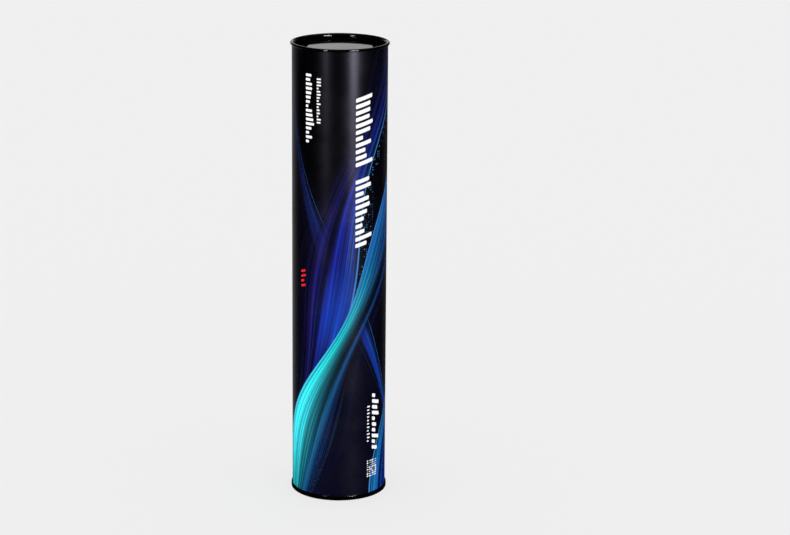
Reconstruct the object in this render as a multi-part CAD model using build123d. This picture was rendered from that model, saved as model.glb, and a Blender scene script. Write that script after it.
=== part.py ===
from build123d import *
from math import degrees, sqrt
import os

# A cylindrical gift tube box: a round tube wound from a liner, board plies and a printed wrap,
# a pressed metal end crimped round its foot, and a pressed metal plug lid that lifts off its mouth.
# Millimetres, +Z up. The origin is the middle of the foot, and the tube stands on Z = 0.
# The printed wrap's glued seam is at the back (+Y), so the front of the box faces -Y.

# Driving sizes of the wound tube
bore_diameter = 62.0
tube_length = 315.6
liner_thickness = 0.15
ply_thickness = 0.30
wrap_thickness = 0.15

# Each ply is wound lengthwise and closes on a narrow butt joint
ply_joint_gap = 0.40
liner_joint_angle = 20.0
ply_joint_angle_step = 80.0

# Glue flap of the printed wrap, where its far edge laps over its start
flap_width = 10.0
flap_rise_width = 3.0
flap_edge_angle = 98.0
flap_crimp_gap = 0.10

# Foot of the tube, belled outwards inside the crimp
bell_flare = 0.50
bell_height = 2.35

# Sheet metal of the lid and of the bottom end
sheet_thickness = 0.25

# Bottom end: a panel set up into the tube, and a crimp folded round the tube's foot
base_panel_depth = 4.50
base_rim_width = 7.00
base_step_width = 1.20
base_step_height = 0.60
base_step_bend = 0.80
base_corner_bend = 1.10
base_neck_bend = 0.80
crimp_height = 3.10
crimp_fold_bend = 0.25
crimp_clearance = 0.08

# Plug lid: a raised middle panel, a groove round it, the plug wall and a curled rim
lid_panel_depth = 3.50
lid_slope_width = 6.00
lid_groove_width = 2.90
lid_groove_depth = 6.50
lid_panel_bend = 0.65
lid_groove_bend = 1.00
lid_corner_bend = 1.00
plug_clearance = 0.10
mouth_bend = 1.275
seat_clearance = 0.05
curl_overhang = 1.10
curl_bend = 0.725
curl_turn = 150.0

# Sizes of the tube that follow from those
ply_names = ("board_ply_inner", "board_ply_second", "board_ply_third", "board_ply_outer")
bore_radius = bore_diameter / 2
first_ply_radius = bore_radius + liner_thickness
wrap_inner_radius = first_ply_radius + ply_thickness * len(ply_names)
wall_radius = wrap_inner_radius + wrap_thickness
foot_z = sheet_thickness + crimp_clearance
bell_top_z = foot_z + bell_height
mouth_z = foot_z + tube_length

# The lid's mouth bend rests on the inner edge of the tube's mouth
plug_radius = bore_radius - plug_clearance
seat_rise = sqrt(mouth_bend**2 - (mouth_bend - plug_clearance) ** 2)
crest_under_z = mouth_z + seat_clearance - seat_rise + mouth_bend
lid_top_z = crest_under_z + sheet_thickness
rim_radius = wall_radius + curl_overhang


def wound_layer(inner_radius, thickness):
    """One closed layer of the tube, its foot belled outwards with all the others."""
    outer_radius = inner_radius + thickness
    section = Polyline(
        (inner_radius + bell_flare, foot_z),
        (outer_radius + bell_flare, foot_z),
        (outer_radius, bell_top_z),
        (outer_radius, mouth_z),
        (inner_radius, mouth_z),
        (inner_radius, bell_top_z),
        close=True,
    )
    return revolve(Plane.XZ * make_face(section), Axis.Z)


def butt_jointed_layer(inner_radius, thickness, joint_angle):
    """A layer whose two long edges meet at a narrow gap, at an angle from +X."""
    reach = 2 * (thickness + bell_flare)
    gap = Pos(inner_radius + thickness / 2, 0, foot_z) * Box(
        reach, ply_joint_gap, tube_length, align=(Align.CENTER, Align.CENTER, Align.MIN)
    )
    return wound_layer(inner_radius, thickness) - Rot(0, 0, joint_angle) * gap


def flap_section():
    """Plan of the glue flap: a rise off the wrap, one more thickness, and a cut edge."""
    root_radius = wrap_inner_radius + wrap_thickness / 2
    flap_radius = wall_radius + wrap_thickness
    crest_angle = flap_edge_angle - degrees(flap_width / flap_radius)
    rise_angle = crest_angle - degrees(flap_rise_width / wall_radius)
    root_arc = CenterArc((0, 0), root_radius, rise_angle, flap_edge_angle - rise_angle)
    flap_arc = CenterArc((0, 0), flap_radius, crest_angle, flap_edge_angle - crest_angle)
    rise_start = Vector(wall_radius, 0).rotate(Axis.Z, rise_angle)
    rise_line = Line(rise_start, flap_arc @ 0)
    start_line = Line(root_arc @ 0, rise_start)
    edge_line = Line(root_arc @ 1, flap_arc @ 1)
    return make_face([root_arc, start_line, rise_line, flap_arc, edge_line])


def printed_wrap():
    """The printed outer sheet, with its glue flap from the crimp up to the mouth."""
    flap_foot_z = crimp_height + flap_crimp_gap
    flap = extrude(Pos(0, 0, flap_foot_z) * flap_section(), mouth_z - flap_foot_z)
    return wound_layer(wrap_inner_radius, wrap_thickness) + flap


def pressed_sheet(tube_side, side):
    """A round pressing, from the face that looks at the tube and the side its metal is on."""
    section = offset(tube_side, sheet_thickness, side=side, closed=True)
    return revolve(Plane.XZ * make_face(section), Axis.Z)


def bottom_end():
    """The crimped metal end: panel, wall up the bore, fold round the foot and hooked edge."""
    neck_radius = bore_radius - crimp_clearance
    step_outer_radius = neck_radius - base_rim_width
    step_inner_radius = step_outer_radius - base_step_width
    rim_panel_z = base_panel_depth + sheet_thickness
    middle_panel_z = rim_panel_z + base_step_height
    skirt_radius = wall_radius + bell_flare + crimp_clearance
    hook_z = crimp_height - sheet_thickness
    tube_side = FilletPolyline(
        (0, middle_panel_z),
        (step_inner_radius, middle_panel_z),
        (step_outer_radius, rim_panel_z),
        (neck_radius, rim_panel_z),
        (neck_radius, bell_top_z),
        (neck_radius + bell_flare, sheet_thickness),
        (skirt_radius, sheet_thickness),
        (skirt_radius, hook_z),
        (wall_radius + crimp_clearance, hook_z),
        radius=[
            base_step_bend,
            base_step_bend,
            base_corner_bend,
            base_neck_bend,
            crimp_fold_bend,
            crimp_fold_bend,
            crimp_fold_bend,
        ],
    )
    return pressed_sheet(tube_side, Side.RIGHT)


def lid():
    """The plug lid: middle panel, groove, wall down the bore, mouth bend and curled rim."""
    groove_inner_radius = plug_radius - lid_groove_width
    panel_radius = groove_inner_radius - lid_slope_width
    panel_z = lid_top_z - lid_panel_depth - sheet_thickness
    groove_z = lid_top_z - lid_groove_depth - sheet_thickness
    curl_radius = rim_radius - sheet_thickness - curl_bend
    plug_side = FilletPolyline(
        (0, panel_z),
        (panel_radius, panel_z),
        (groove_inner_radius, groove_z),
        (plug_radius, groove_z),
        (plug_radius, crest_under_z),
        (curl_radius, crest_under_z),
        radius=[lid_panel_bend, lid_groove_bend, lid_corner_bend, mouth_bend],
    )
    curl = CenterArc((curl_radius, crest_under_z - curl_bend), curl_bend, 90, -curl_turn)
    return pressed_sheet(plug_side + curl, Side.LEFT)


def gift_tube():
    """Every piece of the box in its place, by node name."""
    pieces = {"inner_liner": butt_jointed_layer(bore_radius, liner_thickness, liner_joint_angle)}
    for index, name in enumerate(ply_names):
        radius = first_ply_radius + index * ply_thickness
        angle = liner_joint_angle + (index + 1) * ply_joint_angle_step
        pieces[name] = butt_jointed_layer(radius, ply_thickness, angle)
    pieces["printed_wrap"] = printed_wrap()
    pieces["bottom_end"] = bottom_end()
    pieces["lid"] = lid()
    return pieces


os.makedirs("parts", exist_ok=True)
for name, piece in gift_tube().items():
    export_step(piece, f"parts/{name}.step")
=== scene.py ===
import math

import bmesh
import bpy
from mathutils import Matrix, Vector


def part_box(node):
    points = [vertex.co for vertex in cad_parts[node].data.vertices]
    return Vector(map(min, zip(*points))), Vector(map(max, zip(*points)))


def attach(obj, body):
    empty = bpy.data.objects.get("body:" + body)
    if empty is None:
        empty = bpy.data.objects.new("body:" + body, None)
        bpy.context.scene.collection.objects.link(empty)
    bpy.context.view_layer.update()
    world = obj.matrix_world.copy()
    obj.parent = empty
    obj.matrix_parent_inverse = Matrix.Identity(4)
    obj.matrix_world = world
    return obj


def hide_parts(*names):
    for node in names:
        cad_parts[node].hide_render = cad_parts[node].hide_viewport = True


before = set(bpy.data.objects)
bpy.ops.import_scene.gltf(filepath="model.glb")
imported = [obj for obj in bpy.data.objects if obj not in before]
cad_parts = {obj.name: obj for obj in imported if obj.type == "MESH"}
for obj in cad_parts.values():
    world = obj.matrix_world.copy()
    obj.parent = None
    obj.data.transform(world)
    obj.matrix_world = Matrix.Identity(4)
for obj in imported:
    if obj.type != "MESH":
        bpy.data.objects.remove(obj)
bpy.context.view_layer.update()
print("frame loaded")

mm = 0.001
quarterTurn = math.pi / 2
fullTurn = 2 * math.pi
closeBy = 0.00002  # how near a point counts as the same place, in metres
smoothAngle = math.radians(35)  # edges sharper than this stay sharp
axisFoot = (0, 0, 0)


# Camera and light

viewpoint = {
    "place": (0, -1.569, 0.5906),
    "pitch": math.radians(15.373),  # down from level
    "yaw": math.radians(1.405),  # to the right
    "roll": math.radians(0.551),
    "lens": 107.32,
    "sensor": 36,
}


def placeCamera(v):
    bpy.ops.object.camera_add()
    camera = bpy.context.object
    camera.name = "photoCamera"
    camera.data.lens = v["lens"]
    camera.data.sensor_width = v["sensor"]
    turn = Matrix.Rotation(-v["yaw"], 4, "Z") @ Matrix.Rotation(quarterTurn - v["pitch"], 4, "X")
    camera.matrix_world = Matrix.Translation(v["place"]) @ turn @ Matrix.Rotation(v["roll"], 4, "Z")
    bpy.context.scene.camera = camera


softboxes = {
    "right": {"azimuth": 33, "height": 0.24, "width": 0.42, "tall": 0.37, "power": 7.2},
    "left": {"azimuth": -33, "height": 0.285, "width": 0.26, "tall": 0.37, "power": 1.15},
    "rightUpper": {"azimuth": 32.5, "height": 0.45, "width": 0.5, "tall": 0.09, "power": 15},
    "leftUpper": {"azimuth": -33, "height": 0.45, "width": 0.26, "tall": 0.09, "power": 6.5},
}
softboxDistance = 1.5
aimHeight = 0.2
lightColour = (0.94, 0.93, 1.0)


def hangSoftbox(name, s):
    azimuth = math.radians(s["azimuth"])  # from straight before the box, to the right
    place = Vector((softboxDistance * math.sin(azimuth), -softboxDistance * math.cos(azimuth), s["height"]))
    bpy.ops.object.light_add(type="AREA", location=place)
    light = bpy.context.object
    light.name = name + "Softbox"
    light.data.shape = "RECTANGLE"
    light.data.size = s["width"]
    light.data.size_y = s["tall"]
    light.data.energy = s["power"]
    light.data.color = lightColour
    light.visible_diffuse = False  # the surroundings alone light the matt surfaces
    light.rotation_euler = (Vector((0, 0, aimHeight)) - place).to_track_quat("-Z", "Y").to_euler()


placeCamera(viewpoint)
for name, softbox in softboxes.items():
    hangSoftbox(name, softbox)
print("camera and softboxes placed")


# Node helpers

def feed(tree, socket, value):
    if isinstance(value, bpy.types.NodeSocket):
        tree.links.new(value, socket)
    else:
        socket.default_value = value


def calc(tree, operation, *values):  # one maths node and its result
    node = tree.nodes.new("ShaderNodeMath")
    node.operation = operation
    for socket, value in zip(node.inputs, values):
        feed(tree, socket, value)
    return node.outputs[0]


def vectorCalc(tree, operation, *values):
    node = tree.nodes.new("ShaderNodeVectorMath")
    node.operation = operation
    for socket, value in zip(node.inputs, values):
        feed(tree, socket, value)
    return node.outputs["Value" if operation == "LENGTH" else "Vector"]


def remap(tree, value, low, high, toLow=0.0, toHigh=1.0, smooth=True):
    node = tree.nodes.new("ShaderNodeMapRange")
    node.interpolation_type = "SMOOTHSTEP" if smooth else "LINEAR"
    for socket, given in zip(node.inputs, (value, low, high, toLow, toHigh)):
        feed(tree, socket, given)
    return node.outputs[0]


def stepAt(tree, value, middle, blur, before, after):  # a soft step from one value to another
    return remap(tree, value, middle - blur, middle + blur, before, after)


def blendColours(tree, share, first, second, how="MIX"):
    node = tree.nodes.new("ShaderNodeMix")
    node.data_type = "RGBA"
    node.blend_type = how
    feed(tree, node.inputs["Factor"], share)
    feed(tree, node.inputs[6], first)
    feed(tree, node.inputs[7], second)
    return node.outputs[2]


def rampColours(tree, value, stops):
    node = tree.nodes.new("ShaderNodeValToRGB")
    feed(tree, node.inputs[0], value)
    marks = node.color_ramp.elements
    while len(marks) < len(stops):
        marks.new(1.0)
    for mark, (place, colour) in zip(marks, stops):
        mark.position = place
        mark.color = (*colour, 1)
    return node.outputs[0]


def noiseValue(tree, where, scale, detail=2.0, rough=0.5):
    node = tree.nodes.new("ShaderNodeTexNoise")
    feed(tree, node.inputs["Vector"], where)
    feed(tree, node.inputs["Scale"], scale)
    node.inputs["Detail"].default_value = detail
    node.inputs["Roughness"].default_value = rough
    return node.outputs["Fac"]


def joinValues(tree, x, y, z=0.0):
    node = tree.nodes.new("ShaderNodeCombineXYZ")
    for socket, value in zip(node.inputs, (x, y, z)):
        feed(tree, socket, value)
    return node.outputs[0]


def splitValues(tree, vector):
    node = tree.nodes.new("ShaderNodeSeparateXYZ")
    feed(tree, node.inputs[0], vector)
    return node.outputs


def startGroup(name, takes, gives):  # takes: label and start value; gives: labels
    tree = bpy.data.node_groups.new(name, "ShaderNodeTree")
    for label, value in takes.items():
        kind = "NodeSocketFloat" if isinstance(value, (int, float)) else "NodeSocketVector"
        tree.interface.new_socket(label, in_out="INPUT", socket_type=kind).default_value = value
    for label in gives:
        tree.interface.new_socket(label, in_out="OUTPUT", socket_type="NodeSocketFloat")
    return tree, tree.nodes.new("NodeGroupInput").outputs, tree.nodes.new("NodeGroupOutput").inputs


def useGroup(tree, group, values):
    node = tree.nodes.new("ShaderNodeGroup")
    node.node_tree = group
    for label, value in values.items():
        feed(tree, node.inputs[label], value)
    return node.outputs


def startMaterial(name, settings):
    material = bpy.data.materials.new(name)
    material.use_nodes = True
    tree = material.node_tree
    shader = tree.nodes["Principled BSDF"]
    for label, value in settings.items():
        shader.inputs[label].default_value = value
    place = tree.nodes.new("ShaderNodeTexCoord").outputs["Object"]
    return material, tree, shader.inputs, place


def bumpNormal(tree, height, distance):
    node = tree.nodes.new("ShaderNodeBump")
    node.inputs["Strength"].default_value = 1.0
    node.inputs["Distance"].default_value = distance
    feed(tree, node.inputs["Height"], height)
    return node.outputs[0]


# Floor and surroundings

stageLook = {
    "floorSize": 14,
    "floorColour": (0.18, 0.18, 0.18, 1),
    "floorGlow": 0.72,  # the floor's own even light, which keeps it pale to its far edge
    "floorInGloss": 0.003,  # how bright the floor looks in shiny surfaces, before the box
    "floorBehindInGloss": 0.30,  # and straight behind it
    "floorTurn": (0.4, 1.0),  # it brightens between these cosines of the bearing from straight behind
    "backdrop": 0.871,  # seen directly beyond the floor
    "sideFill": 2.0,  # on matt surfaces, from the low part of the surroundings
    "fillTop": 0.64,  # the fill ends about this sine of its elevation
    "fillBlur": 0.05,
    "backBand": 1.2,  # bright band behind, seen in shiny surfaces
    "frontBand": 0.004,  # what is left of it before the box
    "bandTurn": (0.55, 0.98),  # it brightens between these cosines of the bearing from straight behind
    "bandTop": 0.215,  # the band ends about this sine of its elevation
    "bandFoot": 0.13,  # and is dimmer below this one
    "bandBlur": 0.02,
    "underBand": 0.15,  # share of its brightness that is left there
    "rightShare": 0.25,  # of the left side's brightness behind the box, for both floor and band
    "sideBlend": 0.4,  # the two sides meet within this sine of the bearing
    "overhead": 0.18,  # soft light from above, seen in shiny surfaces
    "overheadFrom": 0.62,  # it begins at this sine of its elevation
    "overheadLean": 0.15,  # and leans to the right by this much
}


def layFloor(s):
    bpy.ops.mesh.primitive_plane_add(size=s["floorSize"])
    floor = bpy.context.object
    floor.name = "paleFloor"
    material = bpy.data.materials.new("paleFloor")
    material.use_nodes = True
    tree = material.node_tree
    tree.nodes.clear()
    matt = tree.nodes.new("ShaderNodeBsdfDiffuse")
    matt.inputs["Color"].default_value = s["floorColour"]
    glow = tree.nodes.new("ShaderNodeEmission")
    glow.inputs["Strength"].default_value = s["floorGlow"]
    lit = tree.nodes.new("ShaderNodeAddShader")
    tree.links.new(matt.outputs[0], lit.inputs[0])
    tree.links.new(glow.outputs[0], lit.inputs[1])
    dark = tree.nodes.new("ShaderNodeEmission")
    place = splitValues(tree, tree.nodes.new("ShaderNodeTexCoord").outputs["Object"])
    reach = vectorCalc(tree, "LENGTH", joinValues(tree, place["X"], place["Y"]))
    bearing = calc(tree, "DIVIDE", place["Y"], reach)
    sideways = calc(tree, "DIVIDE", place["X"], reach)
    share = remap(tree, sideways, -s["sideBlend"], s["sideBlend"], 1.0, s["rightShare"])
    behind = remap(tree, bearing, *s["floorTurn"], s["floorInGloss"], s["floorBehindInGloss"])
    tree.links.new(calc(tree, "MULTIPLY", behind, share), dark.inputs["Strength"])
    ray = tree.nodes.new("ShaderNodeLightPath")
    choose = tree.nodes.new("ShaderNodeMixShader")
    tree.links.new(ray.outputs["Is Glossy Ray"], choose.inputs[0])
    tree.links.new(lit.outputs[0], choose.inputs[1])
    tree.links.new(dark.outputs[0], choose.inputs[2])
    out = tree.nodes.new("ShaderNodeOutputMaterial")
    tree.links.new(choose.outputs[0], out.inputs[0])
    material.cycles.emission_sampling = "NONE"  # so that each kind of ray meets its own brightness
    floor.data.materials.append(material)


def lightSurroundings(s):
    world = bpy.data.worlds.new("paleStudio")
    bpy.context.scene.world = world
    world.cycles.sampling_method = "NONE"
    world.use_nodes = True
    tree = world.node_tree
    sky = tree.nodes["Background"].inputs
    way = splitValues(tree, tree.nodes.new("ShaderNodeTexCoord").outputs["Generated"])
    ray = tree.nodes.new("ShaderNodeLightPath").outputs
    fill = stepAt(tree, way["Z"], s["fillTop"], s["fillBlur"], s["sideFill"], 0.0)
    behind = remap(tree, way["Y"], *s["bandTurn"], s["frontBand"], s["backBand"])
    top = stepAt(tree, way["Z"], s["bandTop"], s["bandBlur"], 1.0, 0.0)
    under = stepAt(tree, way["Z"], s["bandFoot"], s["bandBlur"], s["underBand"], 1.0)
    share = remap(tree, way["X"], -s["sideBlend"], s["sideBlend"], 1.0, s["rightShare"])
    band = calc(tree, "MULTIPLY", calc(tree, "MULTIPLY", behind, calc(tree, "MULTIPLY", top, under)), share)
    leaning = calc(tree, "MULTIPLY_ADD", way["X"], s["overheadLean"], way["Z"])
    above = remap(tree, leaning, s["overheadFrom"], 1.0, 0.0, s["overhead"])
    inGloss = calc(tree, "ADD", band, above)
    indirect = blendColours(tree, ray["Is Glossy Ray"], fill, inGloss)
    backdrop = (s["backdrop"], s["backdrop"], s["backdrop"], 1)
    seen = blendColours(tree, ray["Is Camera Ray"], indirect, backdrop)
    tree.links.new(seen, sky["Color"])
    bpy.context.scene.view_settings.view_transform = "Standard"


layFloor(stageLook)
lightSurroundings(stageLook)
print("floor laid and surroundings lit")


# Modelling helpers: a turned piece grows ring by ring from a circle, then its corners are bent

def beginRing(name, radius, height, sides, turned=0.0):
    bpy.ops.object.select_all(action="DESELECT")
    bpy.ops.mesh.primitive_circle_add(vertices=sides, radius=radius, location=(0, 0, height),
                                      rotation=(0, 0, turned))
    piece = bpy.context.object
    piece.name = piece.data.name = name
    bpy.ops.object.transform_apply(location=True, rotation=True, scale=False)
    bpy.ops.object.mode_set(mode="EDIT")
    bpy.ops.mesh.select_mode(type="EDGE")
    bpy.ops.mesh.select_all(action="SELECT")
    return piece


def pullRing(start, end):  # extrudes the selected ring from one radius and height to the next
    bpy.ops.mesh.extrude_region_move(TRANSFORM_OT_translate={"value": (0, 0, end[1] - start[1])})
    grow = end[0] / start[0]
    bpy.ops.transform.resize(value=(grow, grow, 1), center_override=axisFoot)


def pullAlong(path):
    for start, end in zip(path, path[1:]):
        pullRing(start, end)


def selectEdges(piece, test):  # selects each edge whose two ends both pass
    mesh = bmesh.from_edit_mesh(piece.data)
    bpy.ops.mesh.select_all(action="DESELECT")
    for edge in mesh.edges:
        edge.select_set(all(test(corner.co) for corner in edge.verts))
    bmesh.update_edit_mesh(piece.data)


def angleOf(co):
    return math.atan2(co.y, co.x)


def onRing(radius, height):
    return lambda co: abs(co.xy.length - radius) < closeBy and abs(co.z - height) < closeBy


def atHeight(height):
    return lambda co: abs(co.z - height) < closeBy


def bendCorner(piece, before, corner, after, bend, steps):
    inward = (Vector(corner) - Vector(before)).normalized()
    outward = (Vector(after) - Vector(corner)).normalized()
    turn = math.acos(max(-1, min(1, inward.dot(outward))))
    selectEdges(piece, onRing(*corner))
    bpy.ops.mesh.bevel(offset_type="OFFSET", offset=bend * math.tan(turn / 2), segments=steps,
                       profile=0.5, affect="EDGES", clamp_overlap=False, loop_slide=False)


def bendCorners(piece, path, bends, steps):
    for index, bend in enumerate(bends, start=1):
        bendCorner(piece, path[index - 1], path[index], path[index + 1], bend, steps)


def closeMiddle(piece, radius, height):  # a flat disc across the inmost ring
    selectEdges(piece, onRing(radius, height))
    bpy.ops.mesh.edge_face_add()
    bpy.ops.mesh.inset(thickness=radius / 2)
    bpy.ops.mesh.poke()


def turnFaces(piece, chosen, wanted):  # all normals agree, and the chosen face looks the wanted way
    bpy.ops.mesh.select_all(action="SELECT")
    bpy.ops.mesh.normals_make_consistent(inside=False)
    bpy.ops.object.mode_set(mode="OBJECT")
    face = min(piece.data.polygons, key=chosen)
    if face.normal.dot(wanted(face)) < 0:
        piece.data.flip_normals()


def thicken(piece, thickness, *materials):  # outwards; a second material covers the back and the cut edges
    for material in materials:
        piece.data.materials.append(material)
    solidify = piece.modifiers.new("thickness", "SOLIDIFY")
    solidify.thickness = thickness
    solidify.offset = 1
    solidify.use_even_offset = True
    solidify.material_offset = solidify.material_offset_rim = 1
    bpy.ops.object.modifier_apply(modifier="thickness")


def finishPiece(piece, body, node):
    bpy.ops.object.select_all(action="DESELECT")
    piece.select_set(True)
    bpy.context.view_layer.objects.active = piece
    bpy.ops.object.shade_smooth_by_angle(angle=smoothAngle)
    level = piece.modifiers.new("flatNormals", "WEIGHTED_NORMAL")  # keeps flat faces flat beside a bend
    level.keep_sharp = True
    bpy.ops.object.modifier_apply(modifier="flatNormals")
    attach(piece, body)
    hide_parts(node)
    print(piece.name, len(piece.data.polygons), "faces")


# Sizes that the pieces share, from the frame and from the stock they are made of

stock = {"tinplate": 0.25 * mm, "liner": 0.15 * mm, "ply": 0.30 * mm, "wrap": 0.15 * mm}
foot = {"flare": 0.50 * mm, "bellHeight": 2.35 * mm}
footHeight, mouthHeight = (corner.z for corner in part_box("inner_liner"))
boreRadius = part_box("inner_liner")[1].x - foot["flare"] - stock["liner"]
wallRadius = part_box("board_ply_outer")[1].x - foot["flare"] + stock["wrap"]
bellTop = footHeight + foot["bellHeight"]
crimpTop = 3.10 * mm
layerSides = 512


# Shared finishes

fibreLook = {
    "perMetre": 2600.0,
    "upright": (1.0, 1.0, 0.16),  # how the place is squeezed, so that fibres lie along the tube
    "level": (0.22, 0.22, 1.0),  # and round it
    "stray": 0.6 * mm,
    "strayScale": 0.35,  # of the fibres' own scale
    "uprightCut": (0.45, 0.75),  # where in its noise a fibre begins, and where it is full
    "levelCut": (0.48, 0.78),
    "cloudScale": 0.06,
    "cloudCut": (0.3, 0.7),
}


def makeFibreGroup(s):  # short paper fibres: a tone and a height
    tree, given, gives = startGroup(
        "paperFibres", {"Place": (0, 0, 0), "Size": 1.0, "Cloudiness": 0.5}, ["Tone", "Height"])
    place = given["Place"]
    scale = calc(tree, "DIVIDE", s["perMetre"], given["Size"])
    stray = noiseValue(tree, place, calc(tree, "MULTIPLY", scale, s["strayScale"]), detail=3.0)
    lift = joinValues(tree, 0.0, 0.0, calc(tree, "MULTIPLY", stray, s["stray"]))
    upright = vectorCalc(tree, "ADD", vectorCalc(tree, "MULTIPLY", place, s["upright"]), lift)
    level = vectorCalc(tree, "MULTIPLY", place, s["level"])
    first = remap(tree, noiseValue(tree, upright, scale, detail=4.0, rough=0.6), *s["uprightCut"])
    second = remap(tree, noiseValue(tree, level, scale, detail=4.0, rough=0.6), *s["levelCut"])
    fibres = calc(tree, "MAXIMUM", first, second)
    clouds = noiseValue(tree, place, calc(tree, "MULTIPLY", scale, s["cloudScale"]), detail=3.0)
    gap = calc(tree, "SUBTRACT", remap(tree, clouds, *s["cloudCut"]), fibres)
    gap = calc(tree, "MULTIPLY", gap, given["Cloudiness"])
    tree.links.new(calc(tree, "ADD", fibres, gap), gives["Tone"])
    tree.links.new(fibres, gives["Height"])
    return tree


wearLook = {  # scales are per metre
    "sway": 4 * mm,  # how far a hairline wanders
    "swayScale": 45.0,
    "hairTurns": ((0.35, 0.21, 0.595), (1.2, 0.72, 2.04), (2.3, 1.38, 3.91)),  # one for each way they run
    "hairScale": (2600.0, 70.0, 70.0),
    "hairCut": (0.755, 0.80),  # where in its noise a hairline begins, and where it is full
    "patchScale": 60.0,  # hairlines come in patches
    "patchCut": (0.45, 0.65),
    "smudgeScale": 38.0,
    "smudgeCut": (0.35, 0.7),
    "speckScale": 330.0,
    "speckSize": 0.05,  # of a cell
    "speckFrom": 0.93,  # only cells that draw more than this hold a speck
}


def makeWearGroup(s):  # handling marks: fine hairlines, soft smudges and a few specks of dust
    tree, given, gives = startGroup(
        "handlingMarks", {"Place": (0, 0, 0), "Hair": 1.0, "Dust": 1.0}, ["Hairlines", "Smudges", "Specks"])
    place = given["Place"]
    sway = calc(tree, "MULTIPLY", noiseValue(tree, place, s["swayScale"]), s["sway"])
    swayed = vectorCalc(tree, "ADD", place, joinValues(tree, sway, sway, sway))
    lines = 0.0
    for turn in s["hairTurns"]:
        node = tree.nodes.new("ShaderNodeMapping")
        tree.links.new(swayed, node.inputs["Vector"])
        node.inputs["Rotation"].default_value = turn
        node.inputs["Scale"].default_value = s["hairScale"]
        hair = remap(tree, noiseValue(tree, node.outputs[0], 1.0, detail=0.0), *s["hairCut"])
        lines = calc(tree, "MAXIMUM", hair, lines)
    patches = remap(tree, noiseValue(tree, place, s["patchScale"]), *s["patchCut"])
    lines = calc(tree, "MULTIPLY", calc(tree, "MULTIPLY", lines, patches), given["Hair"])
    tree.links.new(lines, gives["Hairlines"])
    smudges = noiseValue(tree, place, s["smudgeScale"], detail=5.0, rough=0.6)
    tree.links.new(remap(tree, smudges, *s["smudgeCut"]), gives["Smudges"])
    cells = tree.nodes.new("ShaderNodeTexVoronoi")
    tree.links.new(place, cells.inputs["Vector"])
    cells.inputs["Scale"].default_value = s["speckScale"]
    draws = splitValues(tree, cells.outputs["Color"])
    size = calc(tree, "MULTIPLY", draws[1], s["speckSize"])
    speck = calc(tree, "LESS_THAN", cells.outputs["Distance"], size)
    specks = calc(tree, "MULTIPLY", speck, calc(tree, "GREATER_THAN", draws[0], s["speckFrom"]))
    tree.links.new(calc(tree, "MULTIPLY", specks, given["Dust"]), gives["Specks"])
    return tree


paperFibres = makeFibreGroup(fibreLook)
handlingMarks = makeWearGroup(wearLook)

lacquerLook = {
    "black": (0.0006, 0.0006, 0.0008, 1),
    "dust": (0.06, 0.06, 0.063, 1),
    "refraction": 1.5,
    "wear": {"Hair": 1.0, "Dust": 0.5},
    "gloss": 0.06,
    "dulled": 0.14,
    "smudgeShare": 0.45,  # how much a smudge dulls, against a hairline
    "rippleScale": 420.0,
    "ripple": 0.002 * mm,
    "hairDepth": 0.35,  # of the ripple
}


def makeLacquer(s):
    material, tree, shader, place = startMaterial("blackLacquer", {"IOR": s["refraction"]})
    marks = useGroup(tree, handlingMarks, {"Place": place, **s["wear"]})
    tree.links.new(blendColours(tree, marks["Specks"], s["black"], s["dust"]), shader["Base Color"])
    smudges = calc(tree, "MULTIPLY", marks["Smudges"], s["smudgeShare"])
    worn = calc(tree, "MAXIMUM", smudges, marks["Hairlines"])
    tree.links.new(remap(tree, worn, 0.0, 1.0, s["gloss"], s["dulled"], smooth=False), shader["Roughness"])
    ripple = noiseValue(tree, place, s["rippleScale"])
    height = calc(tree, "SUBTRACT", ripple, calc(tree, "MULTIPLY", marks["Hairlines"], s["hairDepth"]))
    tree.links.new(bumpNormal(tree, height, s["ripple"]), shader["Normal"])
    return material


tinLook = {
    "bright": (0.72, 0.71, 0.68, 1),
    "shade": (0.58, 0.57, 0.55, 1),
    "wear": {"Hair": 1.0, "Dust": 0.0},
    "gloss": 0.24,
    "dulled": 0.36,
    "grainScale": (30.0, 2600.0, 900.0),  # per metre, so that the lines of rolling run along X
    "grainCut": (0.35, 0.65),
    "grainHeight": 0.002 * mm,
}


def makeTin(s):  # bare tinplate on the inner faces, with the fine lines of rolling
    material, tree, shader, place = startMaterial("bareTinplate", {"Metallic": 1.0})
    rolled = vectorCalc(tree, "MULTIPLY", place, s["grainScale"])
    grain = noiseValue(tree, rolled, 1.0, detail=3.0, rough=0.6)
    marks = useGroup(tree, handlingMarks, {"Place": place, **s["wear"]})
    tone = remap(tree, grain, *s["grainCut"])
    tree.links.new(blendColours(tree, tone, s["shade"], s["bright"]), shader["Base Color"])
    tree.links.new(remap(tree, marks["Smudges"], 0.0, 1.0, s["gloss"], s["dulled"]), shader["Roughness"])
    tree.links.new(bumpNormal(tree, grain, s["grainHeight"]), shader["Normal"])
    return material


paperSheen = 0.3
paperCloudiness = 0.45
paperLooks = {  # light and shaded tone, size and height of the fibres
    "whiteLiner": {"light": (0.88, 0.88, 0.87, 1), "shade": (0.80, 0.80, 0.79, 1), "size": 1.6,
                   "height": 0.020 * mm, "roughness": 0.55},
    "whiteBoard": {"light": (0.84, 0.83, 0.80, 1), "shade": (0.70, 0.69, 0.66, 1), "size": 1.0,
                   "height": 0.045 * mm, "roughness": 0.85},
    "paperCore": {"light": (0.86, 0.86, 0.85, 1), "shade": (0.76, 0.76, 0.75, 1), "size": 0.8,
                  "height": 0.015 * mm, "roughness": 0.75},
}


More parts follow.
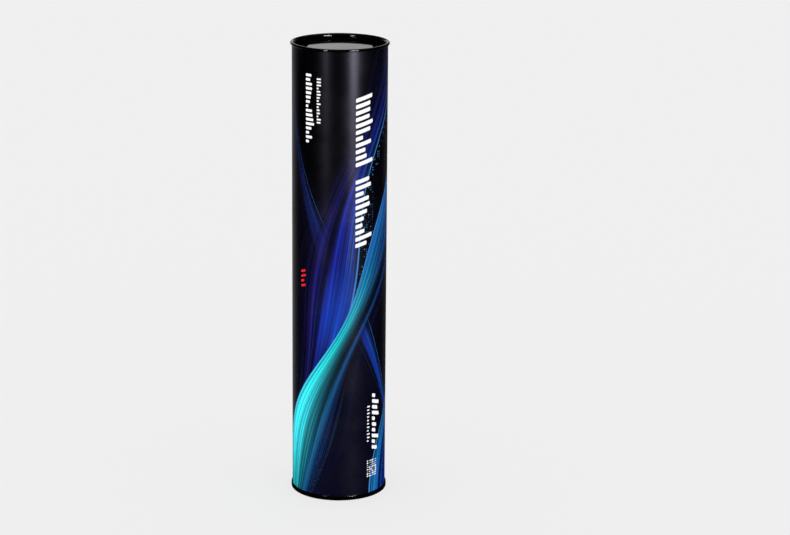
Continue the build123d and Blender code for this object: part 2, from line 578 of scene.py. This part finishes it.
def makePaper(name, s):
    material, tree, shader, place = startMaterial(
        name, {"Roughness": s["roughness"], "Specular IOR Level": paperSheen})
    fibres = useGroup(tree, paperFibres, {"Place": place, "Size": s["size"], "Cloudiness": paperCloudiness})
    tree.links.new(blendColours(tree, fibres["Tone"], s["shade"], s["light"]), shader["Base Color"])
    tree.links.new(bumpNormal(tree, fibres["Height"], s["height"]), shader["Normal"])
    return material


blackLacquer = makeLacquer(lacquerLook)
bareTinplate = makeTin(tinLook)
papers = {name: makePaper(name, look) for name, look in paperLooks.items()}
print("lacquer, tinplate and papers mixed")


# Print of the wrap. Its own measures are millimetres: round the tube from the front, and up from the foot

seamAngle = math.radians(98)  # of the wrap's glued edge, from +X
wayRound = fullTurn * wallRadius / mm
softEdge = 0.05  # of every printed bar
dotBlur = 0.04  # of a dot's edge, as a share of the pitch


ribbonLook = {  # across a ribbon, its middle is 0 and its crisp side 1
    "waistPace": 1.7,  # how often it narrows, against its swing
    "softSide": (-1.0, 0.1),
    "crispEdge": (0.965, 0.985),
    "edgeLine": 0.95,
    "edgeWidth": 0.035,
    "haze": (0.4, 2.6),
    "streakRise": 0.0035,  # how fast the streaks change with height
    "streakCut": (0.36, 0.64),
    "threadScale": (5.0, 1.4, 3.0),  # fine threads beside the broad streaks
    "threadCut": (0.40, 0.60),
    "threadFloor": 0.25,
    "lineCount": 9.0,
    "lineWidth": 0.09,
    "lineShift": (2.0, 8.0, 5.0),  # fine lines fade in and out by a noise of their own
    "lineScale": 2.2,
    "lineCut": (0.42, 0.66),
}


def makeRibbonGroup(s):  # a band of flowing light that climbs round the tube, crisp on one side
    tree, given, gives = startGroup(
        "lightRibbon",
        {"Round": 0.0, "Up": 0.0, "Start": 0.0, "Lean": 0.3, "Sway": 8.0, "Swing": 0.02, "Phase": 0.0,
         "Half Width": 12.0, "Waist": 0.3, "Crisp Side": 1.0, "Streaks": 3.0, "Seed": 0.0},
        ["Across", "Band", "Streak", "Lines", "Edge", "Halo"])
    swing = calc(tree, "MULTIPLY_ADD", given["Up"], given["Swing"], given["Phase"])
    middle = calc(tree, "MULTIPLY_ADD", given["Up"], given["Lean"], given["Start"])
    middle = calc(tree, "MULTIPLY_ADD", calc(tree, "SINE", swing), given["Sway"], middle)
    offset = calc(tree, "SUBTRACT", given["Round"], middle)
    turns = calc(tree, "ROUND", calc(tree, "DIVIDE", offset, wayRound))
    offset = calc(tree, "SUBTRACT", offset, calc(tree, "MULTIPLY", turns, wayRound))
    narrowing = calc(tree, "COSINE", calc(tree, "MULTIPLY", swing, s["waistPace"]))
    waist = calc(tree, "MULTIPLY_ADD", narrowing, given["Waist"], 1.0)
    halfWidth = calc(tree, "MULTIPLY", waist, given["Half Width"])
    across = calc(tree, "MULTIPLY", calc(tree, "DIVIDE", offset, halfWidth), given["Crisp Side"])
    tree.links.new(across, gives["Across"])
    soft = remap(tree, across, *s["softSide"])
    crisp = remap(tree, across, *s["crispEdge"], 1.0, 0.0)
    tree.links.new(calc(tree, "MULTIPLY", soft, crisp), gives["Band"])
    tree.links.new(remap(tree, calc(tree, "ABSOLUTE", across), *s["haze"], 1.0, 0.0), gives["Halo"])
    streaks = calc(tree, "MULTIPLY", across, given["Streaks"])
    slow = calc(tree, "MULTIPLY", given["Up"], s["streakRise"])
    where = joinValues(tree, streaks, slow, given["Seed"])
    broad = remap(tree, noiseValue(tree, where, 1.0, detail=3.0), *s["streakCut"])
    narrow = vectorCalc(tree, "MULTIPLY", where, s["threadScale"])
    threads = remap(tree, noiseValue(tree, narrow, 1.0), *s["threadCut"], s["threadFloor"], 1.0)
    tree.links.new(calc(tree, "MULTIPLY", broad, threads), gives["Streak"])
    comb = noiseValue(tree, joinValues(tree, streaks, given["Seed"]), 1.0)
    tooth = calc(tree, "FRACT", calc(tree, "MULTIPLY", comb, s["lineCount"]))
    near = calc(tree, "ABSOLUTE", calc(tree, "SUBTRACT", tooth, 0.5))
    shifted = vectorCalc(tree, "ADD", where, s["lineShift"])
    strength = noiseValue(tree, shifted, s["lineScale"], detail=1.0)
    lines = calc(tree, "MULTIPLY", remap(tree, near, 0.0, s["lineWidth"], 1.0, 0.0),
                 remap(tree, strength, *s["lineCut"]))
    tree.links.new(lines, gives["Lines"])
    side = calc(tree, "ABSOLUTE", calc(tree, "SUBTRACT", across, s["edgeLine"]))
    tree.links.new(remap(tree, side, 0.0, s["edgeWidth"], 1.0, 0.0), gives["Edge"])
    return tree


def makeBarGroup():  # a column of rounded bars of uneven length
    tree, given, gives = startGroup(
        "barColumn",
        {"Round": 0.0, "Up": 0.0, "Left": 0.0, "Width": 10.0, "Bottom": 0.0, "Pitch": 5.0, "Count": 10.0,
         "Thickness": 2.0, "Shortest": 0.4, "Slant": 0.0, "Seed": 0.0},
        ["Mask"])
    side = calc(tree, "SUBTRACT", given["Round"], given["Left"])
    bottom = calc(tree, "MULTIPLY_ADD", side, given["Slant"], given["Bottom"])
    place = calc(tree, "DIVIDE", calc(tree, "SUBTRACT", given["Up"], bottom), given["Pitch"])
    count = calc(tree, "FLOOR", place)
    draw = tree.nodes.new("ShaderNodeTexWhiteNoise")
    draw.noise_dimensions = "2D"
    tree.links.new(joinValues(tree, count, given["Seed"]), draw.inputs["Vector"])
    share = remap(tree, draw.outputs["Value"], 0.0, 1.0, given["Shortest"], 1.0, smooth=False)
    half = calc(tree, "MULTIPLY", calc(tree, "MULTIPLY", given["Width"], share), 0.5)
    halfThick = calc(tree, "MULTIPLY", given["Thickness"], 0.5)
    corner = calc(tree, "MULTIPLY", halfThick, 0.5)
    level = calc(tree, "SUBTRACT", calc(tree, "SUBTRACT", place, count), 0.5)
    level = calc(tree, "MULTIPLY", level, given["Pitch"])
    beyond = []
    for value, reach in ((calc(tree, "SUBTRACT", side, half), half), (level, halfThick)):
        past = calc(tree, "SUBTRACT", calc(tree, "ABSOLUTE", value), reach)
        beyond.append(calc(tree, "ADD", past, corner))
    beyond = vectorCalc(tree, "MAXIMUM", joinValues(tree, *beyond), (0.0, 0.0, 0.0))
    far = calc(tree, "SUBTRACT", vectorCalc(tree, "LENGTH", beyond), corner)
    halfCount = calc(tree, "MULTIPLY", given["Count"], 0.5)
    within = calc(tree, "COMPARE", count, calc(tree, "SUBTRACT", halfCount, 0.5), halfCount)
    mask = stepAt(tree, far, 0.0, softEdge, 1.0, 0.0)
    tree.links.new(calc(tree, "MULTIPLY", mask, within), gives["Mask"])
    return tree


def makeDotGroup():  # a grid of round dots, whose radii are shares of the pitch between Least and Most
    tree, given, gives = startGroup(
        "dotGrid",
        {"Round": 0.0, "Up": 0.0, "Pitch": 2.0, "Least": 0.1, "Most": 0.4, "Seed": 0.0},
        ["Mask"])
    across = calc(tree, "DIVIDE", given["Round"], given["Pitch"])
    up = calc(tree, "DIVIDE", given["Up"], given["Pitch"])
    column, row = calc(tree, "FLOOR", across), calc(tree, "FLOOR", up)
    draw = tree.nodes.new("ShaderNodeTexWhiteNoise")
    tree.links.new(joinValues(tree, column, row, given["Seed"]), draw.inputs["Vector"])
    size = remap(tree, draw.outputs["Value"], 0.0, 1.0, given["Least"], given["Most"], smooth=False)
    spot = joinValues(tree, calc(tree, "SUBTRACT", across, column), calc(tree, "SUBTRACT", up, row))
    spot = vectorCalc(tree, "SUBTRACT", spot, (0.5, 0.5, 0.0))
    far = calc(tree, "SUBTRACT", vectorCalc(tree, "LENGTH", spot), size)
    tree.links.new(stepAt(tree, far, 0.0, dotBlur, 1.0, 0.0), gives["Mask"])
    return tree


lightRibbon = makeRibbonGroup(ribbonLook)
barColumn = makeBarGroup()
dotGrid = makeDotGroup()

printLook = {
    "groundTop": (0.0002, 0.0002, 0.0009, 1),
    "groundFoot": (0.0003, 0.0006, 0.0095, 1),
    "groundTurn": (20.0, 230.0),  # it turns from the foot's colour to the top's between these heights
    "haze": (0.008, 0.005, 0.028, 1),
    "hazeShare": 0.12,
    "white": (0.87, 0.87, 0.87, 1),
    "red": (0.72, 0.012, 0.010, 1),
    "line": (0.05, 0.26, 0.70, 1),
    "lineShare": 0.3,
    "dots": (0.05, 0.17, 0.32, 1),
    "dotsFrom": (1.0, 1.08),  # the dots lie beside a ribbon, between these places across it
    "dotsTo": (1.2, 1.65),
    "streakFloor": 0.04,  # how bright a ribbon is between its streaks
    "streakGain": 1.25,
    "upperShare": 0.85,  # how far a ribbon turns to its upper colour
    "glowShare": 0.9,
    "glowGain": 0.3,
    "glowSide": (-0.3, 0.6),  # the glow rises between these places across a ribbon
    "roughness": 0.245,
    "smudged": 0.05,  # added to the roughness where the print was handled
    "sheen": 0.34,
    "sheenTint": (0.88, 0.84, 1.0, 1),
    "wear": {"Hair": 0.6, "Dust": 0.3},
    "grain": {"Size": 3.0, "Cloudiness": 0.5},
    "grainHeight": 0.003 * mm,
}

ribbons = {  # colours run from the soft side to the crisp one, and turn to the upper colour with height
    "cross": {
        "shape": {"Start": 58, "Lean": -0.36, "Sway": 6, "Swing": 0.018, "Phase": 1.0, "Half Width": 8,
                  "Waist": 0.5, "Crisp Side": 1, "Streaks": 1.8, "Seed": 8.9},
        "colours": [(0.00, (0.0, 0.008, 0.09)), (0.50, (0.0, 0.02, 0.28)), (1.00, (0.0, 0.07, 0.42))],
        "upper": {"from": 120, "to": 260, "colour": (0.004, 0.003, 0.03, 1)},
        "glow": None,
        "edge": 0.4,
        "dots": False,
    },
    "rear": {
        "shape": {"Start": 50, "Lean": 0.32, "Sway": 10, "Swing": 0.02, "Phase": 3.4, "Half Width": 19,
                  "Waist": 0.4, "Crisp Side": -1, "Streaks": 3.4, "Seed": 3.1},
        "colours": [(0.00, (0.006, 0.003, 0.07)), (0.35, (0.006, 0.014, 0.36)), (0.65, (0.0, 0.05, 0.62)),
                    (0.85, (0.0, 0.17, 0.62)), (1.00, (0.004, 0.34, 0.62))],
        "upper": {"from": 200, "to": 300, "colour": (0.006, 0.010, 0.09, 1)},
        "glow": {"middle": 150, "reach": 60, "colour": (0.01, 0.50, 0.64, 1)},
        "edge": 0.8,
        "dots": False,
    },
    "dusk": {
        "shape": {"Start": -56, "Lean": 0.31, "Sway": 9, "Swing": 0.021, "Phase": 0.4, "Half Width": 19,
                  "Waist": 0.30, "Crisp Side": 1, "Streaks": 3.0, "Seed": 1.7},
        "colours": [(0.00, (0.003, 0.002, 0.02)), (0.35, (0.012, 0.006, 0.15)),
                    (0.58, (0.008, 0.012, 0.38)), (0.78, (0.0, 0.03, 0.66)),
                    (0.92, (0.008, 0.12, 0.80)), (1.00, (0.03, 0.22, 0.85))],
        "upper": {"from": 170, "to": 300, "colour": (0.003, 0.008, 0.06, 1)},
        "glow": {"middle": 130, "reach": 50, "colour": (0.003, 0.07, 0.72, 1)},
        "edge": 1.0,
        "dots": True,
    },
    "dawn": {
        "shape": {"Start": -34, "Lean": 0.42, "Sway": 7, "Swing": 0.024, "Phase": 2.6, "Half Width": 20,
                  "Waist": 0.35, "Crisp Side": -1, "Streaks": 3.6, "Seed": 5.3},
        "colours": [(0.00, (0.0, 0.006, 0.07)), (0.30, (0.0, 0.035, 0.24)), (0.50, (0.0, 0.14, 0.34)),
                    (0.68, (0.0, 0.32, 0.38)), (0.85, (0.0, 0.50, 0.46)), (1.00, (0.004, 0.52, 0.66))],
        "upper": {"from": 95, "to": 185, "colour": (0.001, 0.026, 0.30, 1)},
        "glow": {"middle": 52, "reach": 74, "colour": (0.035, 0.70, 0.80, 1)},
        "edge": 0.7,
        "dots": False,
    },
}

marks = {  # columns of white bars
    "tallBars": {"Left": 11, "Width": 14, "Bottom": 236, "Pitch": 4.4, "Count": 11, "Thickness": 2.7,
                 "Shortest": 0.35, "Slant": 0.25, "Seed": 4},
    "tallBarsBelow": {"Left": 11, "Width": 14, "Bottom": 180, "Pitch": 4.4, "Count": 11, "Thickness": 2.7,
                      "Shortest": 0.35, "Slant": 0.25, "Seed": 11},
    "smallBars": {"Left": -25, "Width": 7, "Bottom": 252, "Pitch": 3.0, "Count": 16, "Thickness": 1.8,
                  "Shortest": 0.3, "Slant": 0.0, "Seed": 21},
    "ticks": {"Left": -16, "Width": 3.6, "Bottom": 266, "Pitch": 2.1, "Count": 15, "Thickness": 1.1,
              "Shortest": 0.3, "Slant": 0.0, "Seed": 33},
    "lowBars": {"Left": 25.5, "Width": 7.4, "Bottom": 34, "Pitch": 4.2, "Count": 10, "Thickness": 2.6,
                "Shortest": 0.4, "Slant": -0.3, "Seed": 45},
    "lowTicks": {"Left": 21, "Width": 3.2, "Bottom": 40, "Pitch": 2.5, "Count": 11, "Thickness": 1.0,
                 "Shortest": 0.35, "Slant": 0.0, "Seed": 57},
    "backBars": {"Left": 82, "Width": 7.5, "Bottom": 40, "Pitch": 3.4, "Count": 14, "Thickness": 1.7,
                 "Shortest": 0.3, "Slant": 0.0, "Seed": 71},
    "backTicks": {"Left": 74, "Width": 5.0, "Bottom": 40, "Pitch": 2.1, "Count": 22, "Thickness": 0.9,
                  "Shortest": 0.3, "Slant": 0.0, "Seed": 83},
}
dotSquare = {"left": 20.8, "bottom": 14.4, "width": 9.6, "height": 12.8,
             "dots": {"Pitch": 1.6, "Least": 0.10, "Most": 0.40, "Seed": 7.0}}
dotField = {"Pitch": 1.7, "Least": -0.35, "Most": 0.30, "Seed": 3.0}
redBars = {"Left": -30, "Width": 5.0, "Bottom": 150, "Pitch": 3.4, "Count": 4, "Thickness": 1.7,
           "Shortest": 0.5, "Slant": 0.3, "Seed": 62}


def unrollTube(tree, place):  # how far round the tube from its front, and up from its foot
    turned = tree.nodes.new("ShaderNodeMapping")
    tree.links.new(place, turned.inputs["Vector"])
    ahead = seamAngle - quarterTurn
    turned.inputs["Rotation"].default_value[2] = quarterTurn - ahead
    side, depth, height = splitValues(tree, turned.outputs[0])
    angle = calc(tree, "ADD", calc(tree, "ARCTAN2", depth, side), ahead)
    return {"Round": calc(tree, "MULTIPLY", angle, wallRadius / mm), "Up": calc(tree, "DIVIDE", height, mm)}


def layRibbon(tree, where, ribbon, grid, ground, s):
    band = useGroup(tree, lightRibbon, {**where, **ribbon["shape"]})
    upper, glow = ribbon["upper"], ribbon["glow"]
    hue = rampColours(tree, calc(tree, "MULTIPLY_ADD", band["Across"], 0.5, 0.5), ribbon["colours"])
    climb = remap(tree, where["Up"], upper["from"], upper["to"], 0.0, s["upperShare"])
    hue = blendColours(tree, climb, hue, upper["colour"])
    bright = calc(tree, "MULTIPLY_ADD", band["Streak"], s["streakGain"], s["streakFloor"])
    if glow:
        far = calc(tree, "ABSOLUTE", calc(tree, "SUBTRACT", where["Up"], glow["middle"]))
        lit = calc(tree, "MULTIPLY", remap(tree, far, 0.0, glow["reach"], 1.0, 0.0),
                   remap(tree, band["Across"], *s["glowSide"]))
        hue = blendColours(tree, calc(tree, "MULTIPLY", lit, s["glowShare"]), hue, glow["colour"])
        bright = calc(tree, "ADD", bright, calc(tree, "MULTIPLY", lit, s["glowGain"]))
    streaked = blendColours(tree, 1.0, hue, joinValues(tree, bright, bright, bright), "MULTIPLY")
    lined = blendColours(tree, calc(tree, "MULTIPLY", band["Lines"], s["lineShare"]), streaked, s["line"])
    edged = blendColours(tree, calc(tree, "MULTIPLY", band["Edge"], ribbon["edge"]), lined, s["line"])
    hazy = blendColours(tree, calc(tree, "MULTIPLY", band["Halo"], s["hazeShare"]), ground, s["haze"])
    colour = blendColours(tree, band["Band"], hazy, edged)
    if ribbon["dots"]:
        beside = calc(tree, "MULTIPLY", remap(tree, band["Across"], *s["dotsFrom"]),
                      remap(tree, band["Across"], *s["dotsTo"], 1.0, 0.0))
        colour = blendColours(tree, calc(tree, "MULTIPLY", grid, beside), colour, s["dots"])
    return colour


def maskWhite(tree, where):  # the columns of bars, and the square of dots near the foot
    white = 0.0
    for mark in marks.values():
        white = calc(tree, "MAXIMUM", useGroup(tree, barColumn, {**where, **mark})["Mask"], white)
    square = useGroup(tree, dotGrid, {**where, **dotSquare["dots"]})["Mask"]
    for value, low, size in ((where["Round"], dotSquare["left"], dotSquare["width"]),
                             (where["Up"], dotSquare["bottom"], dotSquare["height"])):
        square = calc(tree, "MULTIPLY", square, calc(tree, "COMPARE", value, low + size / 2, size / 2))
    return calc(tree, "MAXIMUM", square, white)


def makePrint(s):
    material, tree, shader, place = startMaterial(
        "printedPaper", {"Specular IOR Level": s["sheen"], "Specular Tint": s["sheenTint"]})
    where = unrollTube(tree, place)
    colour = blendColours(tree, remap(tree, where["Up"], *s["groundTurn"]), s["groundFoot"], s["groundTop"])
    grid = useGroup(tree, dotGrid, {**where, **dotField})["Mask"]
    for ribbon in ribbons.values():
        colour = layRibbon(tree, where, ribbon, grid, colour, s)
    colour = blendColours(tree, maskWhite(tree, where), colour, s["white"])
    red = useGroup(tree, barColumn, {**where, **redBars})["Mask"]
    tree.links.new(blendColours(tree, red, colour, s["red"]), shader["Base Color"])
    worn = useGroup(tree, handlingMarks, {"Place": place, **s["wear"]})
    smudged = s["roughness"] + s["smudged"]
    tree.links.new(remap(tree, worn["Smudges"], 0.0, 1.0, s["roughness"], smudged), shader["Roughness"])
    fibres = useGroup(tree, paperFibres, {"Place": place, **s["grain"]})
    tree.links.new(bumpNormal(tree, fibres["Tone"], s["grainHeight"]), shader["Normal"])
    return material


printedPaper = makePrint(printLook)
print("print composed")


# Printed wrap, rolled round the tube with a glue flap at the back

wrapShape = {
    "flapWidth": 10 * mm,
    "riseWidth": 3 * mm,
    "footGap": 0.10 * mm,  # the flap starts this far above the crimp
    "riseSteps": 8,
}


def pullColumn(angle, grow):  # extrudes the selected upright edge round the tube
    bpy.ops.mesh.extrude_region_move()
    bpy.ops.transform.rotate(value=-angle, orient_axis="Z", center_override=axisFoot)
    bpy.ops.transform.resize(value=(grow, grow, 1), center_override=axisFoot)


def rollWrap(s):
    inner = wallRadius - stock["wrap"]
    step = fullTurn / layerSides
    crest = seamAngle - s["flapWidth"] / (wallRadius + stock["wrap"])
    riseTurn = s["riseWidth"] / wallRadius
    rise = crest - riseTurn
    flapFoot = crimpTop + s["footGap"]
    gapStart, gapEnd = rise + step / 2, rise + (s["riseSteps"] - 0.5) * step
    start = (inner + foot["flare"], footHeight)
    piece = beginRing("printedWrap", *start, layerSides, turned=rise - quarterTurn)
    pullAlong([start, (inner, bellTop), (inner, flapFoot)])
    selectEdges(piece, lambda co: atHeight(flapFoot)(co) and not gapStart < angleOf(co) < gapEnd)
    pullRing((inner, flapFoot), (inner, mouthHeight))  # leaves a gap, which the flap then rises over
    selectEdges(piece, lambda co: co.z > flapFoot - closeBy and abs(angleOf(co) - rise) < step / 4)
    grown = 1.0
    for count in range(s["riseSteps"]):
        share = (count + 1) / s["riseSteps"]
        swell = 1 + share * share * (3 - 2 * share) * stock["wrap"] / inner
        pullColumn(riseTurn / s["riseSteps"], swell / grown)
        grown = swell
    crestSteps = round((seamAngle - crest) / step)
    for _ in range(crestSteps):
        pullColumn((seamAngle - crest) / crestSteps, 1.0)
    turnFaces(piece, lambda face: -face.center.z, lambda face: Vector((*face.center.xy, 0)))
    thicken(piece, stock["wrap"], printedPaper, papers["paperCore"])
    return piece


wrap = rollWrap(wrapShape)
finishPiece(wrap, "tube", "printed_wrap")


# Liner and board plies

mouthEdge = {"bevel": 0.05 * mm, "steps": 2}
layers = {  # the joint is where a layer's long edges meet, in degrees from +X
    "inner_liner": {"name": "whiteLiner", "joint": 20},
    "board_ply_inner": {"name": "boardPlyInner", "joint": 100},
    "board_ply_second": {"name": "boardPlySecond", "joint": 180},
    "board_ply_third": {"name": "boardPlyThird", "joint": 260},
    "board_ply_outer": {"name": "boardPlyOuter", "joint": 340},
}


def rollLayer(name, inner, thickness, joint, paper):
    step = fullTurn / layerSides
    start = (inner + foot["flare"], footHeight)
    piece = beginRing(name, *start, layerSides, turned=joint - quarterTurn - step / 2)
    jointWay = Vector((math.cos(joint), math.sin(joint)))
    selectEdges(piece, lambda co: co.xy.normalized().dot(jointWay) > math.cos(step))
    bpy.ops.mesh.delete(type="EDGE")
    bpy.ops.mesh.select_all(action="SELECT")
    pullAlong([start, (inner, bellTop), (inner, mouthHeight)])
    turnFaces(piece, lambda face: -face.center.z, lambda face: Vector((*face.center.xy, 0)))
    thicken(piece, thickness, paper)
    bpy.ops.object.mode_set(mode="EDIT")
    selectEdges(piece, atHeight(mouthHeight))
    bpy.ops.mesh.bevel(offset=mouthEdge["bevel"], segments=mouthEdge["steps"], affect="EDGES")
    bpy.ops.object.mode_set(mode="OBJECT")
    return piece


innerFace = boreRadius
for node, layer in layers.items():
    isLiner = node == "inner_liner"
    thickness = stock["liner" if isLiner else "ply"]
    paper = papers["whiteLiner" if isLiner else "whiteBoard"]
    ring = rollLayer(layer["name"], innerFace, thickness, math.radians(layer["joint"]), paper)
    finishPiece(ring, "tube", node)
    innerFace += thickness


# Lid

lidShape = {
    "sides": 192,
    "panelDepth": 3.50 * mm,
    "slopeWidth": 6.00 * mm,
    "grooveWidth": 2.90 * mm,
    "grooveDepth": 6.50 * mm,
    "plugClearance": 0.10 * mm,
    "panelBend": 0.65 * mm,
    "grooveBend": 1.00 * mm,
    "cornerBend": 1.00 * mm,
    "mouthBend": 1.275 * mm,
    "curlBend": 0.725 * mm,
    "curlTurn": math.radians(150),
    "curlSteps": 15,
    "bendSteps": 8,
}


def pressLid(s):
    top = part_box("lid")[1].z - stock["tinplate"]
    plugRadius = boreRadius - s["plugClearance"]
    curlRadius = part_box("lid")[1].x - stock["tinplate"] - s["curlBend"]
    grooveRadius = plugRadius - s["grooveWidth"]
    panelRadius = grooveRadius - s["slopeWidth"]
    path = [
        (panelRadius / 2, top - s["panelDepth"]),
        (panelRadius, top - s["panelDepth"]),
        (grooveRadius, top - s["grooveDepth"]),
        (plugRadius, top - s["grooveDepth"]),
        (plugRadius, top),
        (curlRadius, top),
    ]
    piece = beginRing("pressedLid", *path[0], s["sides"])
    pullAlong(path)
    curl = []
    for step in range(s["curlSteps"] + 1):
        angle = s["curlTurn"] * step / s["curlSteps"]
        curl.append((curlRadius + s["curlBend"] * math.sin(angle),
                     top - s["curlBend"] * (1 - math.cos(angle))))
    pullAlong(curl)
    bends = [s["panelBend"], s["grooveBend"], s["cornerBend"], s["mouthBend"]]
    bendCorners(piece, path, bends, s["bendSteps"])
    closeMiddle(piece, *path[0])
    turnFaces(piece, lambda face: face.center.xy.length, lambda face: Vector((0, 0, 1)))
    thicken(piece, stock["tinplate"], blackLacquer, bareTinplate)
    return piece


lid = pressLid(lidShape)
finishPiece(lid, "lid", "lid")


# Bottom end

bottomShape = {
    "sides": 192,
    "panelDepth": 4.50 * mm,
    "rimWidth": 7.00 * mm,
    "stepWidth": 1.20 * mm,
    "stepHeight": 0.60 * mm,
    "stepBend": 0.80 * mm,
    "cornerBend": 1.10 * mm,
    "neckBend": 0.80 * mm,
    "foldBend": 0.25 * mm,
    "clearance": 0.08 * mm,
    "bendSteps": 6,
}


def pressBottom(s):
    neckRadius = boreRadius - s["clearance"]
    rimHeight = s["panelDepth"] + stock["tinplate"]
    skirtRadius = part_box("bottom_end")[1].x - stock["tinplate"]
    stepRadius = neckRadius - s["rimWidth"]
    middleRadius = stepRadius - s["stepWidth"]
    middleHeight = rimHeight + s["stepHeight"]
    hookHeight = crimpTop - stock["tinplate"]
    path = [
        (middleRadius / 2, middleHeight),
        (middleRadius, middleHeight),
        (stepRadius, rimHeight),
        (neckRadius, rimHeight),
        (neckRadius, bellTop),
        (neckRadius + foot["flare"], stock["tinplate"]),
        (skirtRadius, stock["tinplate"]),
        (skirtRadius, hookHeight),
        (wallRadius + s["clearance"], hookHeight),
    ]
    bends = [s["stepBend"]] * 2 + [s["cornerBend"], s["neckBend"]] + [s["foldBend"]] * 3
    piece = beginRing("crimpedBottom", *path[0], s["sides"])
    pullAlong(path)
    bendCorners(piece, path, bends, s["bendSteps"])
    closeMiddle(piece, *path[0])
    turnFaces(piece, lambda face: face.center.xy.length, lambda face: Vector((0, 0, -1)))
    thicken(piece, stock["tinplate"], blackLacquer, bareTinplate)
    return piece


bottom = pressBottom(bottomShape)
finishPiece(bottom, "tube", "bottom_end")
